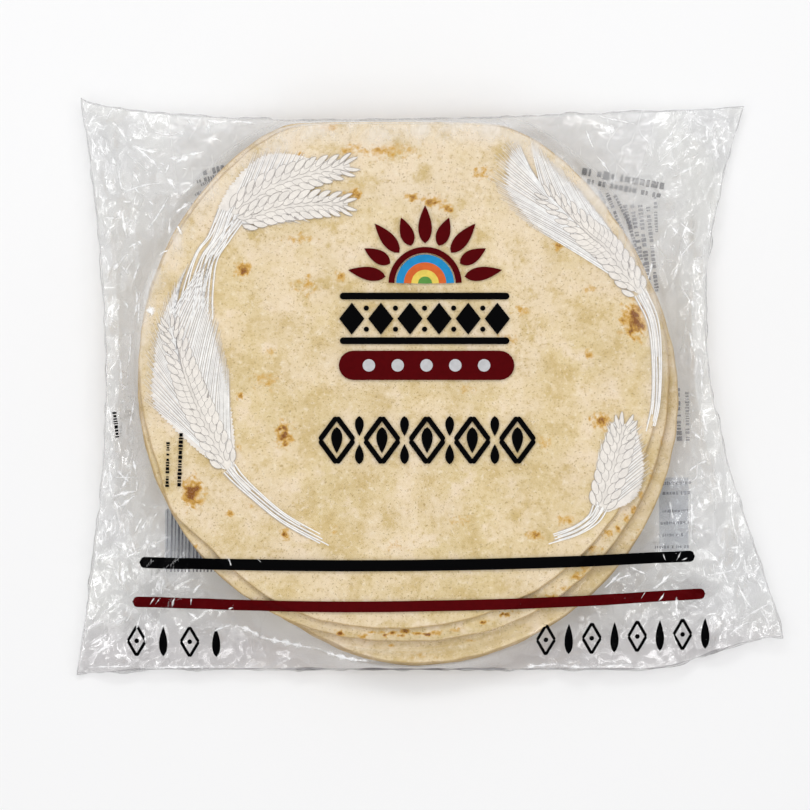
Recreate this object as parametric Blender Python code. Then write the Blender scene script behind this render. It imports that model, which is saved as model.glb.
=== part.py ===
"""A clear film bag of thin round flatbreads, lying flat with its printed side up.

The bag is one closed solid: the film's outer form over the stack of breads. It starts as a sphere
whose equator becomes the bag's rim. The half above it is laid onto the film's upper sheet, and the
half below it onto the lower sheet. All sizes are in metres. +X runs to the bag's right end, +Y to
its upper fold and +Z up.
"""

import bmesh
import bpy
import numpy as np

# The breads, from the number and the diameter that such a pack states.
BREAD_COUNT = 18
BREAD_PITCH = 0.0020
BREAD_RADIUS = 0.1500

# The stack in tiers, top first: how many breads lie below each tier's face, its centre and radius.
# The lower breads have slid towards the bag's lower fold.
TIERS = (
    (BREAD_COUNT, (-0.0171, 0.0103), BREAD_RADIUS + 0.0008),
    (16, (-0.0148, 0.0023), BREAD_RADIUS + 0.0022),
    (13, (-0.0110, -0.0070), BREAD_RADIUS + 0.0032),
)
TIER_ROUNDING = 0.0018
UPPER_FOLD_LIMIT = 0.1492
FOLD_ROUNDING = 0.0040
HUB = (-0.0150, 0.0030)

# The bag's outline as it lies: its corners, and how far each edge is drawn in between them.
CORNER_UPPER_LEFT = (-0.1996, 0.1648)
CORNER_UPPER_RIGHT = (0.1796, 0.1597)
CORNER_LOWER_LEFT = (-0.2025, -0.1648)
CORNER_LOWER_RIGHT = (0.2025, -0.1437)
LEFT_PULL = 0.0156
RIGHT_PULL = 0.0315
UPPER_PULL = 0.0107
LOWER_FOLD_Y = -0.1625

# The film: its seals at both ends, and the heights at which its rim lies above the floor.
SEAL_WIDTH = 0.0080
SEAL_HEIGHT = 0.0150
UPPER_FOLD_HEIGHT = 0.0180
LOWER_FOLD_HEIGHT = 0.0110
CORNER_HEIGHTS = ((0.0030, 0.0085), (0.0105, 0.0045))
SEAL_WAVE = 0.0014
FILM_EDGE = 0.0014
FILM_CROWN = 0.0008
CROWN_FADE = 0.0100
TAUT_FALL = 1.10
LOOSE_FALL = 1.65
LOOSE_ROOM = 0.090
UNDER_RISE = 1.6

# Creases in the loose film, along the rays from the stack to the rim.
CREASES_PER_SIDE = 9
CREASE_DEPTH = 0.0075
CREASE_SHARE = 0.30
CREASE_ROOM = 0.070
UNDER_CREASE_SHARE = 0.35
GOLDEN_TURN = 0.6180339887

SEGMENTS_PER_SIDE = 28
RINGS = 20
RINGS_ON_STACK = 5
LEAST_FALL = 0.0040


def lerp(a, b, t):
    return a + (b - a) * t


def smooth_step(t):
    t = np.clip(t, 0.0, 1.0)
    return t * t * (3.0 - 2.0 * t)


def soft_max(a, b, rounding):
    return 0.5 * (a + b + np.sqrt((a - b) ** 2 + rounding**2))


def soft_min(a, b, rounding):
    return -soft_max(-a, -b, rounding)


def arch(t, depth, skew):
    """How far an edge is drawn in at the share t of its length: a sine arch with its peak moved by skew."""
    return depth * np.sin(np.pi * np.clip(t, 0.0, 1.0) ** skew)


def left_x(v):
    return lerp(CORNER_LOWER_LEFT[0], CORNER_UPPER_LEFT[0], v) + arch(v, LEFT_PULL, 1.0)


def right_x(v):
    return lerp(CORNER_LOWER_RIGHT[0], CORNER_UPPER_RIGHT[0], v) - arch(v, RIGHT_PULL, 1.15)


def upper_y(u):
    return lerp(CORNER_UPPER_LEFT[1], CORNER_UPPER_RIGHT[1], u) - arch(u, UPPER_PULL, 0.63)


def lower_y(u):
    """The lower fold is straight, with its left corner pushed out and its right corner bent back."""
    out_left = (CORNER_LOWER_LEFT[1] - LOWER_FOLD_Y) * (1.0 - smooth_step(u / 0.12))
    back_right = (CORNER_LOWER_RIGHT[1] - LOWER_FOLD_Y) * smooth_step((u - 0.80) / 0.20)
    return LOWER_FOLD_Y + out_left + back_right


def share_up(x, y):
    """The share of the way from the lower to the upper fold, and then across, at the point (x, y)."""
    u = np.clip((x - CORNER_LOWER_LEFT[0]) / (CORNER_LOWER_RIGHT[0] - CORNER_LOWER_LEFT[0]), 0.0, 1.0)
    v = np.clip((y - lower_y(u)) / (upper_y(u) - lower_y(u)), 0.0, 1.0)
    u = np.clip((x - left_x(v)) / (right_x(v) - left_x(v)), 0.0, 1.0)
    return u, v


def outline(turn):
    """The rim at the share turn of the way round: four sides from the lower left corner, each a quarter."""
    side = np.floor(turn * 4.0) % 4.0
    t = (turn * 4.0) % 1.0
    u = np.select([side == 0, side == 1, side == 2], [t, np.ones_like(t), 1.0 - t], 0.0)
    v = np.select([side == 0, side == 1, side == 2], [np.zeros_like(t), t, np.ones_like(t)], 1.0 - t)
    return lerp(left_x(v), right_x(v), u), lerp(lower_y(u), upper_y(u), v)


def beyond_tier(x, y, tier):
    """Distance outside a tier's breads, whose upper side is flattened where the bag's fold holds it."""
    _, centre, radius = tier
    round_part = np.hypot(x - centre[0], y - centre[1]) - radius
    return np.maximum(soft_max(round_part, y - UPPER_FOLD_LIMIT, FOLD_ROUNDING), 0.0)


def way_out(x, y, tier, to_hold):
    """The share of the way from a tier's edge, 0, to where the film is held, 1."""
    outside = beyond_tier(x, y, tier)
    return outside / (outside + to_hold + 1e-6)


def stack_reach(direction_x, direction_y):
    """Distance from the hub to the edge of the top tier along a direction: a line meeting a circle."""
    _, centre, radius = TIERS[0]
    away_x = centre[0] - HUB[0]
    away_y = centre[1] - HUB[1]
    along = away_x * direction_x + away_y * direction_y
    reach = along + np.sqrt(radius**2 - away_x**2 - away_y**2 + along**2)
    to_fold = (UPPER_FOLD_LIMIT - HUB[1]) / np.maximum(direction_y, 1e-3)
    return soft_min(reach, to_fold, FOLD_ROUNDING)


def rim_height(u, v):
    """Height of the rim: the taut stack holds it up in the middle of each side, and each corner sinks.

    CORNER_HEIGHTS holds the lower left and right corner, and then the upper two. The seals wave a little.
    """
    across = smooth_step(u)
    upwards = smooth_step(v)
    near_corner = (np.abs(2.0 * u - 1.0) * np.abs(2.0 * v - 1.0)) ** 1.2
    near_fold = smooth_step(np.minimum(u, 1.0 - u) / 0.30)
    held = lerp(SEAL_HEIGHT, lerp(LOWER_FOLD_HEIGHT, UPPER_FOLD_HEIGHT, upwards), near_fold)
    lower, upper = CORNER_HEIGHTS
    corner = lerp(lerp(lower[0], lower[1], across), lerp(upper[0], upper[1], across), upwards)
    wave = SEAL_WAVE * np.sin(11.0 * v + 1.2 + 2.0 * u) * (1.0 - near_fold)
    return lerp(held, corner, near_corner) + wave


def creases(turn, t, room):
    """Ridges and furrows in the loose film: tents along rays, deepest halfway from the stack to the rim.

    They are as deep as the room between the stack and the rim allows.
    """
    relief = np.zeros_like(turn)
    count = 4 * CREASES_PER_SIDE
    for i in range(count):
        place = (i + 0.6 * ((i * GOLDEN_TURN) % 1.0)) / count
        height = (1.0 if i % 2 else -0.7) * (0.35 + 0.65 * ((i * GOLDEN_TURN * 3.0) % 1.0))
        aside = np.abs((turn - place + 0.5) % 1.0 - 0.5) * count
        relief += height * np.maximum(1.0 - aside / (2.0 * CREASE_SHARE), 0.0)
    depth = CREASE_DEPTH * np.clip(room / CREASE_ROOM, 0.0, 1.0) ** 1.5
    return depth * relief * np.sin(np.pi * np.clip(t, 0.0, 1.0)) ** 1.5


def sheet_heights(x, y, turn, past_stack, room):
    """Heights of the film's upper and lower sheets over (x, y).

    The point lies on the ray at the share turn of the rim, at the share past_stack of the room
    between the stack and the rim.
    """
    u, v = share_up(x, y)
    width = right_x(v) - left_x(v)
    to_seal = np.maximum(soft_min(u, 1.0 - u, 0.02) * width - SEAL_WIDTH, 0.0)
    to_fold = soft_min(v, 1.0 - v, 0.03) * (upper_y(u) - lower_y(u))
    to_hold = np.maximum(soft_min(to_seal, to_fold, FOLD_ROUNDING), 0.0)
    rim = rim_height(u, v)
    fall = lerp(TAUT_FALL, LOOSE_FALL, np.clip(room / LOOSE_ROOM, 0.0, 1.0))
    drape = np.zeros_like(x)
    for tier in TIERS:
        over = (tier[0] * BREAD_PITCH - rim) * (1.0 - way_out(x, y, tier, to_hold)) ** fall
        drape = soft_max(drape, over, TIER_ROUNDING)
    crown = FILM_CROWN * (1.0 - smooth_step(beyond_tier(x, y, TIERS[0]) / CROWN_FADE))
    relief = creases(turn, past_stack, room)
    top = rim + drape + crown + relief
    under = way_out(x, y, TIERS[-1], to_hold)
    bottom = rim * under**UNDER_RISE + UNDER_CREASE_SHARE * relief - 0.5 * FILM_EDGE * under**4
    bottom = np.maximum(bottom, 0.0)
    return np.maximum(top, bottom + FILM_EDGE), bottom


def make_bag():
    """A sphere laid onto the film: its longitudes become rays from the hub, its latitudes rings of rays."""
    mesh = bmesh.new()
    bands = 2 * RINGS + 1
    bmesh.ops.create_uvsphere(mesh, u_segments=4 * SEGMENTS_PER_SIDE, v_segments=bands, radius=1.0)
    sphere = np.array([vert.co[:] for vert in mesh.verts])
    level = np.arccos(np.clip(np.abs(sphere[:, 2]), 0.0, 1.0)) / (np.pi / bands)
    turn = np.round(np.arctan2(sphere[:, 1], sphere[:, 0]) / (2.0 * np.pi) * 4 * SEGMENTS_PER_SIDE)
    turn = (turn / (4 * SEGMENTS_PER_SIDE)) % 1.0
    rim_x, rim_y = outline(turn)
    to_rim = np.hypot(rim_x - HUB[0], rim_y - HUB[1])
    direction_x = (rim_x - HUB[0]) / to_rim
    direction_y = (rim_y - HUB[1]) / to_rim
    edge = np.minimum(stack_reach(direction_x, direction_y), to_rim - LEAST_FALL)
    on_stack = np.clip(level / RINGS_ON_STACK, 0.0, 1.0) ** 0.7
    past_stack = np.clip((level - RINGS_ON_STACK) / (RINGS - RINGS_ON_STACK), 0.0, 1.0) ** 1.15
    distance = edge * on_stack + (to_rim - edge) * past_stack
    x = HUB[0] + direction_x * distance
    y = HUB[1] + direction_y * distance
    top, bottom = sheet_heights(x, y, turn, past_stack, to_rim - edge)
    z = np.where(sphere[:, 2] > 0.0, top, bottom)
    for vert, place in zip(mesh.verts, np.column_stack((x, y, z))):
        vert.co = place
    data = bpy.data.meshes.new("wrap_bag")
    mesh.to_mesh(data)
    mesh.free()
    data.shade_smooth()
    return bpy.data.objects.new("wrap_bag", data)


def make_material(name, colour, roughness):
    material = bpy.data.materials.new(name)
    material.use_nodes = True
    shader = material.node_tree.nodes["Principled BSDF"]
    shader.inputs["Base Color"].default_value = (*colour, 1.0)
    shader.inputs["Roughness"].default_value = roughness
    shader.inputs["Metallic"].default_value = 0.0
    return material


def main():
    for obj in list(bpy.data.objects):
        bpy.data.objects.remove(obj)
    collection = bpy.data.collections.new("bag_of_flatbreads")
    bpy.context.scene.collection.children.link(collection)
    bag = make_bag()
    bag.data.materials.append(make_material("film_over_flatbread", (0.76, 0.61, 0.38), 0.25))
    collection.objects.link(bag)


main()
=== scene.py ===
"""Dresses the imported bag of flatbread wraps: its clear crinkled film, the print on it and the breads inside.

The bag lies flat with its printed side up, and the camera looks straight down on it. Lengths are in
metres. A place that was read off the photograph is given in its pixels and turned into metres by at().
"""

import math

import bpy
import numpy as np
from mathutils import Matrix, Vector


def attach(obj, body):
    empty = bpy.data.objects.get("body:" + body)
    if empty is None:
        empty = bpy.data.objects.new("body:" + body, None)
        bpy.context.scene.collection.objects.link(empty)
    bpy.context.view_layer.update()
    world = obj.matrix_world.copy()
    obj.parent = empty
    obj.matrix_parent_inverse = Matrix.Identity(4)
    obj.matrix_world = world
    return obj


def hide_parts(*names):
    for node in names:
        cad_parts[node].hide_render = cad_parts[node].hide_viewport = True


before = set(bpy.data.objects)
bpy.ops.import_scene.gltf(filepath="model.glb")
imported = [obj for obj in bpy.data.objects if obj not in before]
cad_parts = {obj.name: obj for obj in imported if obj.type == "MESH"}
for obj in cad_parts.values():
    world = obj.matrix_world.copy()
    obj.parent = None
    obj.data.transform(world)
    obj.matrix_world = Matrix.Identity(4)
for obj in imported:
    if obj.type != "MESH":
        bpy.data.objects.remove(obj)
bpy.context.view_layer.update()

# The photograph's scale: one bread of 0.300 m is 526 pixels across, and PHOTO_HUB is over x = y = 0.
METRES_PER_PIXEL = 0.5703e-3
PHOTO_HUB = (430.0, 386.0)
MM = 1.0e-3

# The stack of breads, in tiers from the top: how many breads lie below its face, its centre and radius.
BREAD_COUNT = 18
BREAD_PITCH = 2.0 * MM
BREAD_SHIFT = 1.2 * MM
BREAD_EDGE = 1.1 * MM
TIERS = (
    (BREAD_COUNT, (-0.0171, 0.0103), 0.1508),
    (16, (-0.0148, 0.0023), 0.1522),
    (13, (-0.0110, -0.0070), 0.1532),
)
TIER_ROUNDING = 1.8 * MM
UPPER_FOLD_LIMIT = 0.1492
FOLD_ROUNDING = 4.0 * MM
HUB = (-0.0150, 0.0030)

# The bag's outline as it lies, as its solid has it.
CORNER_UPPER_LEFT = (-0.1996, 0.1648)
CORNER_UPPER_RIGHT = (0.1796, 0.1597)
CORNER_LOWER_LEFT = (-0.2025, -0.1648)
CORNER_LOWER_RIGHT = (0.2025, -0.1437)
LEFT_PULL = 0.0156
RIGHT_PULL = 0.0315
UPPER_PULL = 0.0107
LOWER_FOLD_Y = -0.1625
RIM_STEPS = 1600
RIM_INSET = (0.9965, 0.9955)

# The film's seals, the heights of its rim and the way it falls from the stack.
SEAL_WIDTH = 8.0 * MM
SEAL_HEIGHT = 15.0 * MM
UPPER_FOLD_HEIGHT = 18.0 * MM
LOWER_FOLD_HEIGHT = 11.0 * MM
CORNER_HEIGHTS = ((3.0 * MM, 8.5 * MM), (10.5 * MM, 4.5 * MM))
SEAL_WAVE = 1.4 * MM
FILM_CROWN = 0.8 * MM
CROWN_FADE = 10.0 * MM
TAUT_FALL = 1.10
LOOSE_FALL = 1.65
LOOSE_ROOM = 0.090
UNDER_RISE = 1.6
SHEET_GAP = 0.35 * MM

# The film over the stack presses the top bread's high places flat at this height.
FILM_REST = 36.0 * MM

# Broad folds along the rays from the stack to the rim.
CREASES_PER_SIDE = 9
CREASE_DEPTH = 7.5 * MM
CREASE_SHARE = 0.30
CREASE_ROOM = 0.070
UNDER_CREASE_SHARE = 0.35
GOLDEN_TURN = 0.6180339887

FILM_CELLS = (238, 196)

# The dark inks and the painted white highlights lie on the outside of the film, and the pale ears on its
# inside.
INK_LIFT = 0.20 * MM
DOT_LIFT = 0.25 * MM
GLINT_LIFT = 0.28 * MM
BACK_LIFT = 0.25 * MM
PANEL_LIFT = 0.12 * MM
RIM_LIFT = 0.10 * MM
GLINT_BREADTH = 0.72
RANDOM_GLINTS = 140

# How far up the line of ends the lowest awn of an ear reaches.
AWN_LEAD = 0.42
EAR_STEPS = 160

# The stage.
FLOOR_HALF = 4.0
LIGHT_DISTANCE = 1.9
LIGHT_POWER = 0.82
CAMERA_HEIGHT = 4.0
FOCUS_HEIGHT = 22.0 * MM
PICTURE_SIDE = 810
SENSOR_WIDTH = 36.0


def at(px, py):
    """The place in metres of a pixel of the photograph."""
    return ((px - PHOTO_HUB[0]) * METRES_PER_PIXEL, (PHOTO_HUB[1] - py) * METRES_PER_PIXEL)


def lerp(a, b, t):
    return a + (b - a) * t


def smooth_step(t):
    t = np.clip(t, 0.0, 1.0)
    return t * t * (3.0 - 2.0 * t)


def soft_max(a, b, rounding):
    return 0.5 * (a + b + np.sqrt((a - b) ** 2 + rounding**2))


def soft_min(a, b, rounding):
    return -soft_max(-a, -b, rounding)


def waves(x, y, seed, shortest, longest, count=14):
    """A smooth uneven field of mean 0 and spread about 1: a sum of plane waves in random directions."""
    draw = np.random.default_rng(seed)
    total = np.zeros_like(x)
    for _ in range(count):
        length = shortest * (longest / shortest) ** draw.random()
        turn = draw.random() * 2.0 * np.pi
        phase = draw.random() * 2.0 * np.pi
        total += np.sin((x * np.cos(turn) + y * np.sin(turn)) * 2.0 * np.pi / length + phase)
    return total * np.sqrt(2.0 / count)


# The bag's outline and the two sheets of its film


def arch(t, depth, skew):
    """How far an edge is drawn in at the share t of its length: a sine arch with its peak moved by skew."""
    return depth * np.sin(np.pi * np.clip(t, 0.0, 1.0) ** skew)


def left_x(v):
    return lerp(CORNER_LOWER_LEFT[0], CORNER_UPPER_LEFT[0], v) + arch(v, LEFT_PULL, 1.0)


def right_x(v):
    return lerp(CORNER_LOWER_RIGHT[0], CORNER_UPPER_RIGHT[0], v) - arch(v, RIGHT_PULL, 1.15)


def upper_y(u):
    return lerp(CORNER_UPPER_LEFT[1], CORNER_UPPER_RIGHT[1], u) - arch(u, UPPER_PULL, 0.63)


def lower_y(u):
    """The lower fold is straight, with its left corner pushed out and its right corner bent back."""
    out_left = (CORNER_LOWER_LEFT[1] - LOWER_FOLD_Y) * (1.0 - smooth_step(u / 0.12))
    back_right = (CORNER_LOWER_RIGHT[1] - LOWER_FOLD_Y) * smooth_step((u - 0.80) / 0.20)
    return LOWER_FOLD_Y + out_left + back_right


def plan(u, v):
    """The bag from above: u runs from its left to its right seal, v from its lower to its upper fold."""
    return lerp(left_x(v), right_x(v), u), lerp(lower_y(u), upper_y(u), v)


def share_up(x, y):
    """The shares (u, v) of the way across and up the bag at the point (x, y)."""
    u = np.clip((x - CORNER_LOWER_LEFT[0]) / (CORNER_LOWER_RIGHT[0] - CORNER_LOWER_LEFT[0]), 0.0, 1.0)
    v = np.clip((y - lower_y(u)) / (upper_y(u) - lower_y(u)), 0.0, 1.0)
    u = np.clip((x - left_x(v)) / (right_x(v) - left_x(v)), 0.0, 1.0)
    return u, v


def outline(turn):
    """The rim at the share turn of the way round: four sides from the lower left corner, each a quarter."""
    side = np.floor(turn * 4.0) % 4.0
    t = (turn * 4.0) % 1.0
    u = np.select([side == 0, side == 1, side == 2], [t, np.ones_like(t), 1.0 - t], 0.0)
    v = np.select([side == 0, side == 1, side == 2], [np.zeros_like(t), t, np.ones_like(t)], 1.0 - t)
    return plan(u, v)


def beyond_tier(x, y, tier):
    """Distance outside a tier's breads, whose upper side is flattened where the bag's fold holds it."""
    _, centre, radius = tier
    round_part = np.hypot(x - centre[0], y - centre[1]) - radius
    return np.maximum(soft_max(round_part, y - UPPER_FOLD_LIMIT, FOLD_ROUNDING), 0.0)


def beyond_stack(x, y):
    return np.minimum.reduce([beyond_tier(x, y, tier) for tier in TIERS])


def way_out(x, y, tier, to_hold):
    """The share of the way from a tier's edge, 0, to where the film is held, 1."""
    outside = beyond_tier(x, y, tier)
    return outside / (outside + to_hold + 1e-6)


def rim_height(u, v):
    """Height of the rim: the taut stack holds it up in the middle of each side, and each corner sinks."""
    across, upwards = smooth_step(u), smooth_step(v)
    near_corner = (np.abs(2.0 * u - 1.0) * np.abs(2.0 * v - 1.0)) ** 1.2
    near_fold = smooth_step(np.minimum(u, 1.0 - u) / 0.30)
    held = lerp(SEAL_HEIGHT, lerp(LOWER_FOLD_HEIGHT, UPPER_FOLD_HEIGHT, upwards), near_fold)
    corner = lerp(*(lerp(*heights, across) for heights in CORNER_HEIGHTS), upwards)
    wave = SEAL_WAVE * np.sin(11.0 * v + 1.2 + 2.0 * u) * (1.0 - near_fold)
    return lerp(held, corner, near_corner) + wave


def along_ray(x, y):
    """Where (x, y) lies on its ray from the hub: the rim's share turn, the share past the stack, the room."""
    turns = np.arange(RIM_STEPS) / RIM_STEPS
    rim_x, rim_y = outline(turns)
    angles = np.unwrap(np.arctan2(rim_y - HUB[1], rim_x - HUB[0]))
    reach = np.hypot(rim_x - HUB[0], rim_y - HUB[1])
    angle = (np.arctan2(y - HUB[1], x - HUB[0]) - angles[0]) % (2.0 * np.pi) + angles[0]
    whole_way = np.append(angles, angles[0] + 2.0 * np.pi)
    turn = np.interp(angle, whole_way, np.append(turns, 1.0))
    to_rim = np.interp(angle, whole_way, np.append(reach, reach[0]))
    _, centre, radius = TIERS[0]
    away_x = centre[0] - HUB[0]
    away_y = centre[1] - HUB[1]
    along = away_x * np.cos(angle) + away_y * np.sin(angle)
    edge = along + np.sqrt(radius**2 - away_x**2 - away_y**2 + along**2)
    to_fold = (UPPER_FOLD_LIMIT - HUB[1]) / np.maximum(np.sin(angle), 1e-3)
    edge = np.minimum(soft_min(edge, to_fold, FOLD_ROUNDING), to_rim - FOLD_ROUNDING)
    room = to_rim - edge
    past = np.clip((np.hypot(x - HUB[0], y - HUB[1]) - edge) / room, 0.0, 1.0)
    return turn, past, room


def broad_folds(x, y):
    """Ridges and furrows in the loose film: tents along rays, deepest halfway from the stack to the rim."""
    turn, past, room = along_ray(x, y)
    relief = np.zeros_like(turn)
    count = 4 * CREASES_PER_SIDE
    for i in range(count):
        place = (i + 0.6 * ((i * GOLDEN_TURN) % 1.0)) / count
        height = (1.0 if i % 2 else -0.7) * (0.35 + 0.65 * ((i * GOLDEN_TURN * 3.0) % 1.0))
        aside = np.abs((turn - place + 0.5) % 1.0 - 0.5) * count
        relief += height * np.maximum(1.0 - aside / (2.0 * CREASE_SHARE), 0.0)
    depth = CREASE_DEPTH * np.clip(room / CREASE_ROOM, 0.0, 1.0) ** 1.5
    return depth * relief * np.sin(np.pi * past**0.87) ** 1.5, room


# The film's creases. Each is a straight sharp ridge with sloping sides that fade out


# The main ones, by the pixels of their two ends and their height in millimetres.
MAIN_CREASES = (
    (105, 112, 175, 188, 2.2), (80, 117, 113, 115, 0.8), (143, 108, 151, 130, 0.9),
    (148, 129, 180, 131, 0.7), (205, 114, 272, 128, 1.1), (125, 141, 160, 151, 0.9),
    (169, 158, 207, 151, 1.0), (119, 194, 165, 182, 1.0), (176, 192, 146, 234, 1.1),
    (121, 154, 127, 238, 1.4), (102, 217, 121, 213, 0.7), (100, 219, 126, 266, 1.0),
    (178, 230, 168, 258, 0.7), (144, 285, 135, 324, 1.1), (125, 286, 128, 318, 0.8),
    (112, 300, 107, 380, 0.8), (128, 345, 122, 420, 0.9), (104, 470, 122, 410, 0.7),
    (114, 492, 130, 505, 0.8), (118, 508, 123, 588, 1.4), (104, 560, 121, 575, 0.8),
    (160, 575, 150, 612, 1.2), (192, 590, 186, 606, 0.9), (88, 622, 132, 598, 1.0),
    (96, 650, 130, 612, 0.8), (184, 648, 126, 636, 0.7), (210, 631, 232, 624, 1.0),
    (230, 624, 262, 637, 1.3), (258, 636, 322, 647, 1.5), (318, 647, 372, 659, 1.3),
    (80, 668, 232, 667, 1.3), (518, 668, 575, 664, 1.0), (573, 664, 612, 668, 1.0),
    (608, 668, 655, 666, 0.9), (672, 656, 722, 645, 1.1), (722, 646, 780, 640, 0.9),
    (650, 151, 664, 129, 0.8), (662, 154, 695, 130, 0.9), (673, 176, 694, 167, 0.7),
    (704, 130, 699, 250, 1.4), (653, 242, 675, 220, 1.0), (674, 222, 682, 197, 0.8),
    (678, 225, 699, 238, 0.9), (699, 237, 678, 258, 0.7), (576, 115, 616, 124, 1.1),
    (590, 127, 601, 170, 1.0), (701, 262, 703, 300, 0.9), (692, 320, 698, 420, 1.0),
    (684, 440, 688, 548, 1.2), (700, 430, 716, 520, 0.9), (720, 480, 734, 566, 1.3),
    (728, 560, 742, 640, 1.2), (655, 588, 678, 573, 1.2), (708, 596, 760, 604, 0.9),
    (676, 612, 680, 634, 1.1), (734, 592, 752, 566, 0.8),
)


def loose_share(x, y):
    """How free the film is to crinkle: nearly taut over the top bread, looser over the others, then free."""
    past_top = smooth_step((beyond_tier(x, y, TIERS[0]) - 1.0 * MM) / (9.0 * MM))
    past_all = smooth_step((beyond_stack(x, y) + 1.0 * MM) / (10.0 * MM))
    return 0.03 + 0.22 * past_top + 0.75 * past_all


def crinkle_share(x, y):
    """How crumpled the film is: most within a few centimetres of the seals, and a third of that elsewhere."""
    u, v = share_up(x, y)
    to_seal = np.minimum(u, 1.0 - u) * (right_x(v) - left_x(v))
    near_seal = 1.0 - smooth_step((to_seal - 18.0 * MM) / (42.0 * MM))
    return loose_share(x, y) * (0.34 + 0.66 * near_seal)


def veil_and_light_share(x, y):
    """How milky the film is where it bends over the top bread's rim, most along its upper half as painted
    light.
    """
    _, centre, radius = TIERS[0]
    past = np.maximum(np.hypot(x - centre[0], y - centre[1]) - radius, y - UPPER_FOLD_LIMIT)
    band = smooth_step((past + 17.0 * MM) / (14.0 * MM)) * (1.0 - smooth_step((past + 0.5 * MM) / (3.5 * MM)))
    return band * smooth_step(0.5 + (y - centre[1]) / 0.120)


def crease_table(seed, count, least, most):
    """Random creases as rows of centre x and y, direction, half length, side width and height.

    A crease lies somewhere on the bag where the film is loose. Near a seal it tends to run along
    the seal, and elsewhere along the ray from the hub.
    """
    draw = np.random.default_rng(seed)
    u = draw.random(count * 5)
    v = draw.random(count * 5)
    x, y = plan(u, v)
    keep = draw.random(count * 5) < loose_share(x, y) ** 2
    u, v, x, y = u[keep][:count], v[keep][:count], x[keep][:count], y[keep][:count]
    ray = np.arctan2(y - HUB[1], x - HUB[0])
    near_seal = smooth_step((0.09 - np.minimum(u, 1.0 - u)) / 0.05)
    turn = np.where(draw.random(len(x)) < 0.7 * near_seal, np.pi / 2.0, ray)
    turn = turn + draw.normal(0.0, 0.45, len(x))
    turn = np.where(draw.random(len(x)) < 0.35, draw.random(len(x)) * np.pi, turn)
    half = least * (most / least) ** draw.random(len(x))
    width = np.clip(half * (0.22 + 0.38 * draw.random(len(x))), 1.3 * MM, 7.0 * MM)
    height = width * (0.12 + 0.34 * draw.random(len(x)) ** 1.3)
    sign = np.where(draw.random(len(x)) < 0.62, 1.0, -1.0)
    return np.column_stack((x, y, turn, half, width, height * sign))


def marked_ends(marks):
    """The two ends in metres of marks whose rows begin with the pixels of both."""
    return (*at(marks[:, 0], marks[:, 1]), *at(marks[:, 2], marks[:, 3]))


def main_crease_table():
    marks = np.array(MAIN_CREASES)
    x0, y0, x1, y1 = marked_ends(marks)
    half = 0.56 * np.hypot(x1 - x0, y1 - y0)
    width = 3.0 * MM + 0.05 * half
    turn = np.arctan2(y1 - y0, x1 - x0)
    return np.column_stack(((x0 + x1) / 2.0, (y0 + y1) / 2.0, turn, half, width, marks[:, 4] * MM))


def seal_creases(seed, count):
    """Upright creases close to both seals, shorter and steeper than the others."""
    draw = np.random.default_rng(seed)
    near = 0.004 + 0.075 * draw.random(count) ** 1.3
    u = np.where(draw.random(count) < 0.5, near, 1.0 - near)
    x, y = plan(u, draw.random(count))
    turn = np.pi / 2.0 + draw.normal(0.0, 0.28, count)
    half = 3.5 * MM * 4.5 ** draw.random(count)
    width = 1.4 * MM + 2.2 * MM * draw.random(count)
    height = width * (0.15 + 0.40 * draw.random(count))
    sign = np.where(draw.random(count) < 0.6, 1.0, -1.0)
    return np.column_stack((x, y, turn, half, width, height * sign))


FRONT_CREASES = np.concatenate(
    (
        main_crease_table(),
        seal_creases(14, 190),
        crease_table(11, 300, 6.0 * MM, 20.0 * MM),
        crease_table(13, 700, 2.2 * MM, 7.0 * MM),
    )
)
BACK_CREASES = crease_table(12, 420, 3.0 * MM, 18.0 * MM)


def crease_relief(x, y, table):
    """The sum of the creases. Each is a hipped roof: four flat slopes that meet in a sharp ridge."""
    relief = np.zeros(x.size)
    flat_x, flat_y = x.ravel(), y.ravel()
    for cx, cy, turn, half, width, height in table:
        reach = half + width
        near = np.flatnonzero((np.abs(flat_x - cx) < reach) & (np.abs(flat_y - cy) < reach))
        dx, dy = flat_x[near] - cx, flat_y[near] - cy
        along = np.abs(dx * np.cos(turn) + dy * np.sin(turn))
        aside = np.abs(dy * np.cos(turn) - dx * np.sin(turn))
        roof = np.minimum(1.0 - aside / width, (half - along) / (0.4 * half))
        relief[near] += height * np.clip(roof, 0.0, 1.0)
    return relief.reshape(x.shape)


def facets(x, y, seed, slope):
    """Flat facets in random directions: a sum of triangle waves, bent a little so that none repeats."""
    draw = np.random.default_rng(seed)
    bend_x, bend_y = (2.5 * MM * waves(x, y, seed + k, 30.0 * MM, 70.0 * MM, 6) for k in (1, 2))
    x, y = x + bend_x, y + bend_y
    total = np.zeros_like(x)
    for _ in range(6):
        length = 9.0 * MM * 3.2 ** draw.random()
        turn = draw.random() * np.pi
        phase = (x * np.cos(turn) + y * np.sin(turn)) / length + draw.random()
        total += slope * 0.25 * length * (4.0 * np.abs(phase - np.floor(phase) - 0.5) - 1.0)
    return total


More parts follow.
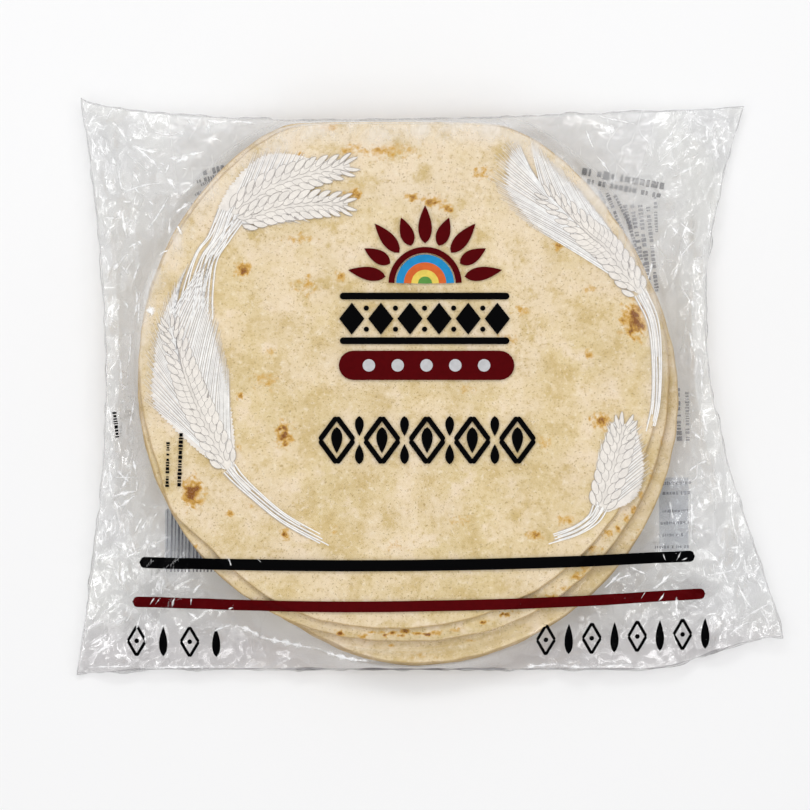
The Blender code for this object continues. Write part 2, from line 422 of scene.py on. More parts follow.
def sheets(x, y):
    """Heights of the film's front and back sheets over (x, y), with every fold and crease."""
    u, v = share_up(x, y)
    width = right_x(v) - left_x(v)
    to_seal = np.maximum(soft_min(u, 1.0 - u, 0.02) * width - SEAL_WIDTH, 0.0)
    to_fold = soft_min(v, 1.0 - v, 0.03) * (upper_y(u) - lower_y(u))
    to_hold = np.maximum(soft_min(to_seal, to_fold, FOLD_ROUNDING), 0.0)
    rim = rim_height(u, v)
    folds, room = broad_folds(x, y)
    fall = lerp(TAUT_FALL, LOOSE_FALL, np.clip(room / LOOSE_ROOM, 0.0, 1.0))
    drape = np.zeros_like(x)
    for tier in TIERS:
        over = (tier[0] * BREAD_PITCH - rim) * (1.0 - way_out(x, y, tier, to_hold)) ** fall
        drape = soft_max(drape, over, TIER_ROUNDING)
    crown = FILM_CROWN * (1.0 - smooth_step(beyond_tier(x, y, TIERS[0]) / CROWN_FADE))
    loose = loose_share(x, y)
    apart = smooth_step(to_hold / (12.0 * MM))
    under = way_out(x, y, TIERS[-1], to_hold)
    front_creases = (crease_relief(x, y, FRONT_CREASES) + facets(x, y, 41, 0.13)) * loose
    back_creases = (crease_relief(x, y, BACK_CREASES) + facets(x, y, 45, 0.13)) * loose
    back = rim * under**UNDER_RISE + UNDER_CREASE_SHARE * folds
    back = back + lerp(front_creases, np.maximum(back_creases, 0.0), apart) * smooth_step(under / 0.3)
    back = np.maximum(back, 0.02 * MM)
    front = rim + drape + crown + folds + front_creases
    return soft_max(front, back + SHEET_GAP, 0.2 * MM), back


def evened(t, gather):
    """Moves even steps t towards both ends, where the film crinkles most."""
    return t - gather * np.sin(2.0 * np.pi * t) / (2.0 * np.pi)


class FilmGrid:
    """The film's points: a grid over the plan, closer together near the rim, with both sheets' heights."""

    def __init__(self):
        self.shape = (FILM_CELLS[1] + 1, FILM_CELLS[0] + 1)
        self.v_steps = evened(np.linspace(0.0, 1.0, self.shape[0]), 0.50)
        self.u_steps = evened(np.linspace(0.0, 1.0, self.shape[1]), 0.50)
        v, u = np.meshgrid(self.v_steps, self.u_steps, indexing="ij")
        self.x, self.y = plan(u, v)
        self.front, self.back = sheets(self.x, self.y)
        self.edge = np.zeros(self.shape, bool)
        self.edge[[0, -1], :] = True
        self.edge[:, [0, -1]] = True
        self.front = np.where(self.edge, 0.5 * (self.front + self.back), self.front)

    def shares(self, x, y):
        """The shares (u, v) of points, by repeating the two steps that find each from the other."""
        u, v = share_up(x, y)
        for _ in range(4):
            v = (y - lower_y(u)) / (upper_y(u) - lower_y(u))
            u = (x - left_x(v)) / (right_x(v) - left_x(v))
        return u, v

    def height(self, x, y, sheet):
        """Height of a sheet at points, on the flat cells between its grid's points."""
        u, v = self.shares(x, y)
        column = np.interp(u, self.u_steps, np.arange(self.shape[1]))
        row = np.interp(v, self.v_steps, np.arange(self.shape[0]))
        c = np.minimum(column.astype(int), self.shape[1] - 2)
        r = np.minimum(row.astype(int), self.shape[0] - 2)
        s, t = column - c, row - r
        lower = lerp(sheet[r, c], sheet[r, c + 1], s)
        return lerp(lower, lerp(sheet[r + 1, c], sheet[r + 1, c + 1], s), t)


FILM = FilmGrid()


def front_height(x, y):
    return FILM.height(x, y, FILM.front)


def back_height(x, y):
    return FILM.height(x, y, FILM.back)


def inside_bag(x, y, margin=0.6 * MM):
    u, v = FILM.shares(x, y)
    wide = right_x(np.clip(v, 0, 1)) - left_x(np.clip(v, 0, 1))
    tall = upper_y(np.clip(u, 0, 1)) - lower_y(np.clip(u, 0, 1))
    return np.minimum(np.minimum(u, 1.0 - u) * wide, np.minimum(v, 1.0 - v) * tall) > margin


# Meshes


def make_piece(name, points, faces, material, slot=None):
    """A smooth mesh with its place in its points. One that has a slot is a piece that rides on the bag."""
    mesh = bpy.data.meshes.new(name)
    mesh.from_pydata(points.tolist(), [], faces if isinstance(faces, list) else faces.tolist())
    mesh.validate()
    mesh.materials.append(material)
    mesh.shade_smooth()
    piece = bpy.data.objects.new(name, mesh)
    bpy.context.scene.collection.objects.link(piece)
    if slot:
        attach(piece, "root")
    return piece


def set_values(piece, name, values):
    """Stores one number for each point of a piece, for its material to read."""
    values = np.asarray(values, np.float32)
    piece.data.attributes.new(name, "FLOAT", "POINT").data.foreach_set("value", values)


def grid_faces(rows, columns, closed=False, start=0):
    """Quads of a grid of points, row after row, which may close on itself along each row."""
    across = columns if closed else columns - 1
    r, c = np.meshgrid(np.arange(rows - 1), np.arange(across), indexing="ij")
    a = start + r * columns + c
    b = start + r * columns + (c + 1) % columns
    return np.stack((a, b, b + columns, a + columns), axis=-1).reshape(-1, 4)


def film_bag(material):
    """Front and back sheet over one grid of the plan, each with its own heights, joined round the rim."""
    rows, columns = FILM.shape
    wobble_x, wobble_y = (0.45 * MM * waves(FILM.x, FILM.y, seed, 9.0 * MM, 45.0 * MM) for seed in (61, 62))
    x = FILM.x + wobble_x * FILM.edge
    y = FILM.y + wobble_y * FILM.edge
    front, back = (np.stack((x, y, z), axis=-1).reshape(-1, 3) for z in (FILM.front, FILM.back))
    inner = np.flatnonzero(~FILM.edge.reshape(-1))
    number = np.arange(rows * columns)
    number[inner] = rows * columns + np.arange(len(inner))
    faces = grid_faces(rows, columns)
    faces = np.concatenate((faces, number[faces][:, ::-1]))
    piece = make_piece("film_bag", np.concatenate((front, back[inner])), faces, material, "clear_film")
    for name, share in (("loose", loose_share), ("crinkle", crinkle_share), ("veil_and_light", veil_and_light_share)):
        values = share(FILM.x, FILM.y).reshape(-1)
        set_values(piece, name, np.concatenate((values, values[inner] * (name != "veil_and_light"))))
    set_values(piece, "sheet", np.repeat((0.0, 1.0), (rows * columns, len(inner))))
    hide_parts("wrap_bag")


def sideways(path):
    """The unit normals to the left of a flat path, one at each of its points."""
    way = np.gradient(path, axis=0)
    way /= np.maximum(np.linalg.norm(way, axis=1, keepdims=True), 1e-9)
    return np.column_stack((-way[:, 1], way[:, 0]))


def shifted(path, across):
    """A flat path moved sideways, to its left where across is positive."""
    return path + sideways(path) * np.asarray(across).reshape(-1, 1)


def ribbon(path, half_width, across=2):
    """A strip along a flat path: at each of its points, steps across it at right angles, of a half width."""
    half_width = np.broadcast_to(np.asarray(half_width, float), len(path))
    steps = np.linspace(-1.0, 1.0, across)
    return path[:, None, :] + sideways(path)[:, None, :] * (half_width[:, None] * steps)[:, :, None]


def draped(name, ribbons, sheet, lift, material, slot):
    """Strips laid onto a sheet of the film as one piece, all at one lift over it or each at its own."""
    points = np.concatenate([strip.reshape(-1, 2) for strip in ribbons])
    sizes = [strip.shape[0] * strip.shape[1] for strip in ribbons]
    lifts = np.repeat(np.broadcast_to(np.asarray(lift, float), len(ribbons)), sizes)
    height = sheet(points[:, 0], points[:, 1]) + lifts
    starts = np.cumsum([0] + sizes)
    faces = [grid_faces(*strip.shape[:2], start=start)[:, ::-1] for strip, start in zip(ribbons, starts)]
    return make_piece(name, np.column_stack((points, height)), np.concatenate(faces), material, slot)


def line(start, end, steps):
    t = np.linspace(0.0, 1.0, steps)[:, None]
    return np.array(start) * (1.0 - t) + np.array(end) * t


def bezier(start, bend, end, steps):
    """A curve from start to end that is drawn towards bend."""
    t = np.linspace(0.0, 1.0, steps)[:, None]
    start, bend, end = np.array(start), np.array(bend), np.array(end)
    return start * (1.0 - t) ** 2 + 2.0 * bend * t * (1.0 - t) + end * t**2


def smooth_path(points, steps):
    """A smooth curve through points: Catmull-Rom arcs, sampled evenly in their parameter."""
    points = np.array(points, float)
    padded = np.concatenate((2 * points[:1] - points[1:2], points, 2 * points[-1:] - points[-2:-1]))
    t = np.linspace(0.0, len(points) - 1.0, steps)
    i = np.minimum(t.astype(int), len(points) - 2)
    s = (t - i)[:, None]
    a, b, c, d = padded[i], padded[i + 1], padded[i + 2], padded[i + 3]
    return 0.5 * (2 * b + (c - a) * s + (2 * a - 5 * b + 4 * c - d) * s**2 + (3 * b - a - 3 * c + d) * s**3)


# The breads


def bread_radius(angle, radius, bumps, seed):
    """Outline of a bread: its radius, a few slow waves, a fine ragged edge and the bumps given in degrees."""
    draw = np.random.default_rng(seed)
    reach = np.full_like(angle, radius)
    for k in range(2, 9):
        reach += 0.6 * MM / k * np.cos(k * angle + draw.random() * 2.0 * np.pi) * (0.4 + draw.random())
    for k in range(19, 60, 5):
        reach += 0.07 * MM * np.cos(k * angle + draw.random() * 2.0 * np.pi)
    for degrees, amount, spread in bumps:
        aside = (angle - math.radians(degrees) + np.pi) % (2.0 * np.pi) - np.pi
        reach += amount * MM * np.exp(-((aside / math.radians(spread)) ** 2))
    return reach


def bread(name, level, centre, radius, bumps, rings, spokes, toast_spots, material):
    """A thin round bread as a closed skin: rings from a pole on its face, round its rim, to one below.

    Its height over the flat is its place in the stack, a slow wave that it shares with its
    neighbours and a low relief of its own. Past the fold limit it is held back and pressed flat.
    """
    angle = np.linspace(0.0, 2.0 * np.pi, spokes, endpoint=False)
    reach = bread_radius(angle, radius, bumps, 100 + level)
    top_rings = np.array(rings)
    rim_turn = np.linspace(0.0, np.pi, 7)[1:-1]
    edge_share = 1.0 - BREAD_EDGE / radius
    low_rings = np.array([edge_share, 0.96, 0.8, 0.4])
    round_rim = edge_share + (1.0 - edge_share) * np.sin(rim_turn)
    share = np.concatenate((top_rings * edge_share, round_rim, low_rings))
    side = np.concatenate((np.ones(len(top_rings)), np.cos(rim_turn), -np.ones(len(low_rings))))
    r = share[:, None] * reach[None, :]
    x = centre[0] + r * np.cos(angle)
    y = centre[1] + r * np.sin(angle)
    limit = UPPER_FOLD_LIMIT + 1.4 * MM - 0.3 * MM * ((level * GOLDEN_TURN) % 1.0)
    held = soft_min(y, limit, 3.0 * MM)
    half = 0.5 * BREAD_PITCH * 0.94
    middle = (level + 0.5) * BREAD_PITCH * 0.980 + 0.40 * MM
    relief = 0.13 * MM * waves(x, y, 300 + level, 9.0 * MM, 30.0 * MM)
    shared = 0.12 * MM * waves(x, y, 299, 50.0 * MM, 120.0 * MM)
    z = middle + shared + side[:, None] * (half + 0.35 * relief) + 0.65 * relief * (share[:, None] > 0.2)
    pressed = smooth_step((y - (limit - 22.0 * MM)) / (26.0 * MM))
    z = lerp(z, UPPER_FOLD_HEIGHT + 0.72 * (z - UPPER_FOLD_HEIGHT), pressed)
    z = soft_min(z, FILM_REST, 0.25 * MM)
    poles = np.array([[*centre, z[0].mean()], [*centre, z[-1].mean()]])
    rows = len(share)
    body = np.stack((x, held, z), axis=-1).reshape(-1, 3)
    points = np.concatenate((body, poles))
    quads = grid_faces(rows, spokes, closed=True)[:, ::-1]
    ring = np.arange(spokes)
    after = (ring + 1) % spokes
    top_fan = np.stack((ring, after, np.full(spokes, rows * spokes)), axis=-1)
    last = (rows - 1) * spokes
    low_fan = np.stack((last + after, last + ring, np.full(spokes, rows * spokes + 1)), axis=-1)
    faces = quads.tolist() + top_fan.tolist() + low_fan.tolist()
    piece = make_piece(name, points, faces, material, "flatbread")
    set_values(piece, "toast", toasting(points[:, 0], points[:, 1], toast_spots, 500 + level))
    # The rim rows take a darker tan: toasted edges, and painted shade where one tier meets the next.
    set_values(piece, "rim", np.append(np.repeat((np.abs(side) < 0.9) * 1.0, spokes), (0.0, 0.0)))


def toasting(x, y, spots, seed):
    """How toasted the bread is: the spots given by pixel, size in pixels and depth, with ragged outlines."""
    wander_x, wander_y = (0.24 * waves(x, y, seed + k, 2.5 * MM, 8.0 * MM) for k in (1, 2))
    value = np.zeros_like(x)
    for px, py, wide, tall, depth in spots:
        sx, sy = at(px, py)
        away = np.hypot(
            (x - sx) / (0.55 * wide * METRES_PER_PIXEL) + wander_x,
            (y - sy) / (0.55 * tall * METRES_PER_PIXEL) + wander_y,
        )
        value = np.maximum(value, depth * np.exp(-(away**2.0)))
    return value


# Toasted spots of the top bread and of the two tiers below it: pixel, width, height, depth.
TOP_SPOTS = (
    (193, 492, 17, 25, 1.0), (634, 320, 21, 32, 0.95), (588, 354, 9, 8, 0.8), (600, 421, 17, 13, 0.75),
    (545, 443, 16, 14, 0.4), (285, 435, 13, 21, 0.95), (241, 396, 6, 6, 0.9), (243, 270, 12, 13, 1.0),
    (230, 513, 7, 7, 0.75), (285, 533, 8, 9, 0.95), (534, 535, 14, 9, 0.7), (567, 520, 16, 12, 0.55),
    (354, 195, 13, 9, 0.85), (412, 198, 11, 8, 0.7), (433, 202, 14, 9, 0.85), (447, 208, 11, 7, 0.9),
    (340, 277, 9, 9, 0.7), (352, 150, 26, 12, 0.45), (388, 152, 60, 16, 0.42), (482, 174, 16, 12, 0.55),
    (557, 247, 7, 8, 0.8), (521, 311, 15, 10, 0.5), (506, 340, 17, 11, 0.5), (306, 286, 26, 18, 0.38),
    (300, 240, 26, 12, 0.35), (366, 300, 9, 8, 0.3), (270, 352, 12, 10, 0.35), (265, 380, 26, 20, 0.34),
    (470, 390, 18, 12, 0.3), (300, 158, 14, 9, 0.5), (330, 128, 22, 8, 0.45), (588, 290, 14, 10, 0.35),
    (240, 447, 5, 5, 0.6), (251, 505, 8, 6, 0.45), (335, 530, 6, 8, 0.4), (460, 520, 24, 14, 0.3),
    (398, 545, 26, 12, 0.28),
)
MIDDLE_SPOTS = (
    (340, 633, 7, 6, 1.1), (363, 636, 7, 5, 0.7), (376, 632, 12, 3, 0.55), (386, 635, 4, 3, 1.0),
    (392, 632, 7, 4, 0.8), (400, 635, 9, 2, 0.7), (406, 630, 8, 5, 1.1), (417, 633, 8, 2, 0.6),
    (427, 634, 6, 3, 1.3), (437, 632, 14, 5, 0.50), (455, 629, 16, 4, 0.52), (486, 621, 16, 4, 0.32),
    (483, 622, 5, 3, 0.9), (504, 614, 8, 4, 1.3), (516, 612, 14, 4, 0.45), (534, 603, 10, 4, 0.62),
    (549, 596, 18, 5, 0.48), (562, 588, 16, 6, 0.55), (577, 576, 12, 7, 0.66), (585, 567, 10, 8, 0.58),
    (596, 556, 8, 5, 0.72), (593, 548, 14, 7, 0.52), (607, 532, 12, 8, 0.60), (619, 529, 7, 5, 0.85),
    (626, 518, 6, 8, 0.60), (633, 509, 5, 10, 0.66), (641, 494, 6, 10, 0.50), (652, 476, 6, 14, 0.45),
    (662, 440, 5, 16, 0.35), (141, 364, 6, 10, 0.9), (148, 371, 6, 6, 0.7), (193, 548, 12, 8, 0.6),
)
LOW_SPOTS = (
    (420, 655, 40, 8, 0.22), (392, 645, 6, 3, 0.5), (470, 640, 12, 3, 0.4), (640, 540, 16, 20, 0.30),
    (676, 400, 8, 60, 0.16),
)


def stack_of_breads(material):
    """The breads from the bottom up, in three tiers that slid apart, each a little off its neighbours."""
    draw = np.random.default_rng(7)
    fine = list(np.linspace(0.012, 1.0, 108))
    rim_fine = [0.25, 0.55, 0.72, 0.80] + list(np.linspace(0.85, 1.0, 40))
    plain = [0.3, 0.7, 0.9, 0.96, 0.985, 1.0]
    tier_breads = (
        (17, at(400, 368), 260, ((212, 4.6, 7), (247, 2.9, 14), (118, 3.2, 14), (62, 2.4, 14))),
        (15, at(404, 382), 265, ((270, -3.4, 22), (226, 1.0, 18))),
        (12, at(411, 398), 266, ((215, -8.0, 24), (244, -5.0, 16), (180, -3.0, 30))),
    )
    for level in range(BREAD_COUNT):
        top, centre, radius, bumps = next(t for t in reversed(tier_breads) if level <= t[0])
        shift = 0.0 if level == top else BREAD_SHIFT
        middle = (centre[0] + draw.normal(0, 1) * shift, centre[1] + draw.normal(0, 1) * shift)
        size = radius * METRES_PER_PIXEL - abs(draw.normal(0, 1)) * shift * 0.8
        if level == BREAD_COUNT - 1:
            rings, spokes, spots = fine, 360, TOP_SPOTS
        elif level == top:
            rings, spokes, spots = rim_fine, 640, MIDDLE_SPOTS if level == 15 else LOW_SPOTS
        else:
            rings, spokes, spots = plain, 240, MIDDLE_SPOTS if level > 12 else LOW_SPOTS
        bread(f"bread_{level + 1:02d}", level, middle, size, bumps, rings, spokes, spots, material)


# The print


# Ears of wheat, in pixels: the ear's axis, the outer ends of its awns on the left and on the right, its
# half width, the number of rows of grains and of awns a side, and its stem with its half widths.
EARS = (
    (
        ((230, 470), (203, 416), (187, 377), (168, 318)),
        ((221, 468), (196, 452), (168, 428), (146, 400), (149, 352), (156, 322), (170, 292), (190, 262)),
        ((236, 466), (238, 432), (234, 395), (226, 358), (218, 322), (210, 290), (205, 262)),
        11.5,
        17,
        44,
        ((230, 468), (238, 478), (254, 493), (285, 518), (330, 543)),
        (6.5, 4.2),
    ),
    (
        ((231, 216), (268, 190), (305, 176), (350, 166)),
        ((211, 226), (216, 205), (228, 182), (252, 157), (272, 150), (296, 153), (318, 160), (348, 162)),
        ((236, 220), (262, 204), (300, 190), (326, 184), (350, 172)),
        11.0,
        12,
        24,
        ((228, 212), (217, 240), (205, 258), (196, 288), (190, 330)),
        (8.0, 13.0),
    ),
    (
        ((238, 222), (275, 210), (310, 205), (348, 205)),
        ((232, 216), (262, 198), (300, 194), (348, 200)),
        ((240, 226), (262, 226), (305, 222), (346, 209)),
        10.5,
        11,
        12,
        ((240, 220), (226, 238), (213, 258), (208, 288), (206, 330)),
        (4.0, 8.0),
    ),
    (
        ((641, 297), (610, 254), (588, 234), (540, 191)),
        ((632, 290), (606, 272), (560, 245), (528, 226), (504, 202), (492, 178), (500, 150), (517, 140)),
        ((650, 298), (640, 272), (620, 246), (600, 217), (570, 180), (548, 160), (530, 140)),
        11.0,
        15,
        36,
        ((640, 294), (652, 322), (656, 362), (655, 404), (649, 432)),
        (6.0, 3.6),
    ),
    (
        ((599, 510), (609, 478), (617, 450), (624, 424)),
        ((595, 506), (592, 485), (597, 455), (604, 432), (612, 420)),
        ((610, 512), (640, 499), (648, 468), (642, 440), (634, 418)),
        12.0,
        9,
        22,
        ((600, 506), (592, 519), (574, 531), (547, 540)),
        (7.0, 4.0),
    ),
)


def wheat_ear(axis, left, right, half_width, rows, awns, seed):
    """One ear in pixels: its pale ground, its awns and its grains, as strips.

    The ground is ruled from the axis most of the way to the awns' ends on each side. An awn starts at
    the share s of the axis and runs almost straight to the share AWN_LEAD + (1 - AWN_LEAD) s of the
    line of ends. The grains stand in four columns, and each is a strip whose width swells and
    narrows as a sine.
    """
    draw = np.random.default_rng(seed)
    ground, awn_paths, grains = [], [], []
    spine = smooth_path(axis, EAR_STEPS)
    last = EAR_STEPS - 1
    for border in (left, right):
        ends = smooth_path(border, EAR_STEPS)
        across = np.linspace(0.0, 1.0, 14)[:, None]
        ragged = 0.80 + 0.10 * ((np.arange(EAR_STEPS) * GOLDEN_TURN) % 1.0)
        ragged = ragged[:, None, None] * across[None]
        ground.append(spine[:, None] * (1.0 - ragged) + ends[:, None] * ragged)
        for k in range(awns):
            share = (k + 0.6 * draw.random()) / awns
            i = min(last, int(EAR_STEPS * share))
            j = min(last, int(EAR_STEPS * (AWN_LEAD + (1.0 - AWN_LEAD) * share)))
            way = spine[min(i + 1, last)] - spine[max(i - 1, 0)]
            way = way / np.linalg.norm(way)
            out = ends[i] - spine[i]
            start = spine[i] + out * min(0.5, half_width * 0.6 / max(np.linalg.norm(out), 1.0))
            run = ends[j] - start
            length = np.linalg.norm(run)
            end = ends[j] + run / max(length, 1.0) * draw.normal(0.0, 2.4)
            awn_paths.append(bezier(start, start + 0.5 * run + way * 0.07 * length, end, 20))
    length = np.linalg.norm(spine[-1] - spine[0])
    for row in range(rows):
        share = row / (rows - 1.0)
        i = min(156, int(5 + 142 * share))
        way = spine[i + 1] - spine[i - 1]
        way = way / np.linalg.norm(way)
        aside = np.array([-way[1], way[0]])
        taper = math.sin(math.pi * min(0.22 + 0.70 * share, 0.92)) ** 0.5
        grain = 1.5 * length / rows
        for column in (-1.5, 1.5, -0.5, 0.5):
            ahead_by = 0.25 * grain if abs(column) < 1 else 0.0
            foot = spine[i] + aside * column * 0.42 * half_width * taper + way * ahead_by
            lean = math.radians(18 if abs(column) < 1 else 30) * np.sign(column)
            ahead = way * math.cos(lean) + aside * math.sin(lean)
            top = foot + ahead * grain * (0.95 + 0.1 * draw.random())
            t = np.linspace(0.0, 1.0, 9)
            swell = 0.21 * half_width * taper * (1.35 * np.sin(np.pi * t**0.85) ** 0.75) + 0.05
            bend = 0.5 * (foot + top) + aside * np.sign(column) * 0.12 * grain
            grains.append((bezier(foot, bend, top, 9), swell))
    return ground, awn_paths, grains


def pixel_strip(path, half_width, across=2):
    """A strip given in pixels of the photograph, in metres."""
    x, y = at(path[:, 0], path[:, 1])
    return ribbon(np.column_stack((x, y)), np.asarray(half_width, float) * METRES_PER_PIXEL, across)


def wheat_print(pale, white, grey, soft_grey):
    """The pale ears: a pale ground, white awns over grey ones, and pale grains with thin grey outlines."""
    ground, light, shade, grain_strips, outlines, layers = [], [], [], [], [], []
    draw = np.random.default_rng(19)
    for number, (axis, left, right, half_width, rows, awns, stem, stem_widths) in enumerate(EARS):
        field, awn_paths, grains = wheat_ear(axis, left, right, half_width, rows, awns, 20 + number)
        ground += [np.stack(at(ruled[..., 0], ruled[..., 1]), axis=-1) for ruled in field]
        for path in awn_paths:
            taper = np.clip(1.0 - np.linspace(0.0, 1.0, len(path)) ** 4, 0.25, 1.0)
            light.append(pixel_strip(path, 0.46 * taper))
            shade.append(pixel_strip(shifted(path, 0.95), 0.40 * taper))
        layers.extend(np.arange(len(grains)) // 2 + (24 if number == 2 else 0))
        for path, swell in grains:
            outlines.append(pixel_strip(path, swell + 0.52, 3))
            grain_strips.append(pixel_strip(path, swell, 3))
        path = smooth_path(stem, 50)
        wide = np.linspace(*stem_widths, 50)
        ground.append(pixel_strip(path[:24], np.linspace(0.8, 0.25, 24) * wide[:24], 6))
        lines = max(4, int(0.9 * stem_widths[0]))
        for offset in np.linspace(-0.95, 0.95, lines):
            stop = 50 - int(9 * draw.random())
            side = wide * (offset + 0.10 * np.sin(np.linspace(0.0, 5.0, 50) + 9.0 * offset))
            light.append(pixel_strip(shifted(path, side)[:stop], 0.62))
            shade.append(pixel_strip(shifted(path, side + 1.0)[: stop - 3], 0.34))
    order = np.array(layers) * 0.005 * MM
    for name, strips, lift, material in (
        ("wheat_ground", ground, -0.62 * MM, pale),
        ("wheat_shade", shade, -0.54 * MM, soft_grey),
        ("wheat_strokes", light, -0.50 * MM, white),
        ("wheat_outlines", outlines, -0.44 * MM + order, grey),
        ("wheat_grains", grain_strips, -0.4375 * MM + order, pale),
    ):
        draped(name, strips, front_height, lift, material, "print_pale")


def rounded(run, half_width):
    """The half widths of a bar along its run: they follow a circle over its first and last half width."""
    inset = np.clip(np.minimum(run, run[-1] - run) / half_width, 0.0, 1.0)
    return half_width * np.sqrt(np.clip(1.0 - (1.0 - inset) ** 2, 1e-4, 1.0))


def bar(start, end, half_width, across=5):
    """A straight bar with half-round ends, in pixels."""
    length = math.dist(start, end)
    cap = (1.0 - np.cos(np.linspace(0.0, np.pi / 2.0, 6))) * half_width
    middle = np.linspace(half_width, length - half_width, max(2, int(length / 2.0)))
    run = np.concatenate((cap[:-1], middle, length - cap[-2::-1]))
    start, end = np.array(start, float), np.array(end, float)
    return pixel_strip(start + (end - start) * (run / length)[:, None], rounded(run, half_width), across)


def curved_bar(points, half_width, across=5):
    """A long bar through points, in pixels, with half-round ends."""
    path = smooth_path(points, 330)
    run = np.concatenate(([0.0], np.cumsum(np.linalg.norm(np.diff(path, axis=0), axis=1))))
    return pixel_strip(path, rounded(run, half_width), across)


def level_strip(centre, along, half_widths, across):
    """A strip along x through its centre, in pixels."""
    path = np.column_stack((centre[0] + along, np.full(len(along), float(centre[1]))))
    return pixel_strip(path, half_widths, across)


def disc(centre, radius):
    t = -np.cos(np.linspace(0.0, np.pi, 17)) * radius
    return level_strip(centre, t, np.sqrt(np.maximum(radius**2 - t**2, 1e-4)), 9)


def petal(foot, top, wide):
    t = np.linspace(0.0, 1.0, 13)
    return pixel_strip(line(foot, top, 13), wide * np.sin(np.pi * t**0.75) ** 0.9 + 0.02, 5)


def lozenge(centre, half_long, half_wide):
    t = np.linspace(-1.0, 1.0, 15)
    return level_strip(centre, t * half_long, half_wide * (1.0 - np.abs(t)) + 0.02, 7)


def half_ring(centre, radius, half_width):
    """The upper half of a ring, in pixels."""
    turn = np.radians(np.linspace(1.0, 179.0, 40))
    path = np.column_stack((centre[0] + radius * np.cos(turn), centre[1] - radius * np.sin(turn)))
    return pixel_strip(path, half_width, 4)


def emblem():
    """A generic rising sun over a row of lozenges and a pill with dots, as strips for each ink."""
    sun = np.array((425.0, 284.0))
    inks = {ink: [] for ink in ("maroon", "black", "blue", "orange", "yellow", "green", "silver")}
    for i in range(9):
        turn = math.radians(10.0 + 20.0 * i)
        ray = np.array([math.cos(turn), -math.sin(turn)])
        inks["maroon"].append(petal(sun + ray * 40.0, sun + ray * (70.0 if i % 2 else 78.0), 6.8))
    for ink, radius, half_width in (
        ("maroon", 33.5, 3.0),
        ("blue", 25.0, 3.9),
        ("orange", 17.4, 3.7),
        ("yellow", 10.4, 3.4),
        ("green", 3.6, 3.5),
    ):
        inks[ink].append(half_ring(sun, radius, half_width))
    inks["black"] += [bar((340, y), (509, y), 3.4) for y in (296.5, 341)]
    inks["black"] += [lozenge((352.0 + 29.0 * i, 319.0), 12.6, 16.0) for i in range(6)]
    inks["black"] += [disc((366.5 + 29.0 * i, 319.0 + rise), 2.6) for i in range(5) for rise in (-10.5, 10.5)]
    inks["maroon"].append(bar((339, 365.5), (514, 365.5), 14.6, 15))
    inks["silver"] += [disc((369.0 + 28.7 * i, 365.5), 6.2) for i in range(5)]
    return inks


def lozenge_outline(centre, half_wide, half_tall, stroke):
    """A lozenge drawn as four strokes."""
    x, y = centre
    corners = [(x - half_wide, y), (x, y - half_tall), (x + half_wide, y), (x, y + half_tall)]
    return [bar(a, b, stroke, 4) for a, b in zip(corners, corners[1:] + corners[:1])]


def name_band():
    """A black border of lozenges with leaves between them."""
    strips = []
    for i in range(5):
        x = 337.0 + 45.0 * i
        strips += lozenge_outline((x, 440.0), 17.0, 23.0, 2.6)
        strips.append(petal((x, 427.0), (x, 453.0), 5.6))
        if i:
            strips.append(petal((x - 22.5, 416.0), (x - 22.5, 436.0), 4.4))
            strips.append(petal((x - 22.5, 464.0), (x - 22.5, 444.0), 4.4))
    return strips


def corner_bands():
    """Thin-lined lozenges and leaves, by turns, in a row near each lower corner."""
    strips = []
    for first, last, count, tall in (
        ((136, 641.5), (216, 642.5), 4, 15.0),
        ((546, 640.0), (706, 634.0), 8, 15.5),
    ):
        for i in range(count):
            x, y = (lerp(a, b, i / (count - 1.0)) for a, b in zip(first, last))
            if i % 2 == 0:
                strips += lozenge_outline((x, y), 9.0, tall, 1.5)
                strips.append(disc((x, y), 2.4))
            else:
                strips.append(petal((x, y + tall), (x, y - tall), 4.2))
    return strips


def text_rows(rows, seed):
    """Rows of short plain marks of uneven length, each row given by its two ends and its half height."""
    draw = np.random.default_rng(seed)
    strips = []
    for start, end, half_height in rows:
        start, end = np.array(start, float), np.array(end, float)
        total = np.linalg.norm(end - start)
        along = (end - start) / total
        run = 0.0
        while run < total:
            length = half_height * (0.5 + 1.1 * draw.random())
            mark = line(start + along * run, start + along * (run + length), 3)
            strips.append(pixel_strip(mark, half_height * (0.65 + 0.35 * draw.random()), 2))
            run += length + half_height * (0.45 if draw.random() < 0.82 else 1.6)
    return strips


BATCH_ROWS = (
    ((182, 433), (180, 484), 2.3), ((169, 442), (168, 486), 1.9), ((114, 412), (117, 438), 2.2),
)
BACK_TITLE_ROWS = (
    ((583, 170), (663, 185), 4.2), ((588, 180), (662, 195), 3.0), ((202, 172), (240, 163), 3.4),
    ((196, 181), (226, 172), 2.2),
)
BACK_TEXT_ROWS = (
    ((592, 188), (614, 232), 2.2), ((600, 190), (622, 238), 2.2), ((608, 192), (630, 246), 2.2),
    ((616, 194), (632, 226), 2.0), ((626, 204), (640, 262), 2.4), ((633, 204), (648, 290), 2.4),
    ((641, 204), (654, 316), 2.6), ((649, 206), (658, 290), 2.4), ((656, 196), (658, 232), 2.0),
    ((200, 184), (228, 172), 1.8), ((194, 194), (214, 184), 1.8), ((190, 204), (202, 198), 1.8),
    ((679, 388), (681, 442), 2.8), ((688, 392), (689, 440), 2.0), ((664, 484), (690, 483), 2.0),
    ((664, 494), (690, 493), 2.0), ((664, 512), (690, 511), 1.6), ((662, 524), (690, 523), 1.6),
    ((660, 536), (690, 535), 1.6), ((656, 548), (690, 547), 1.6),
)


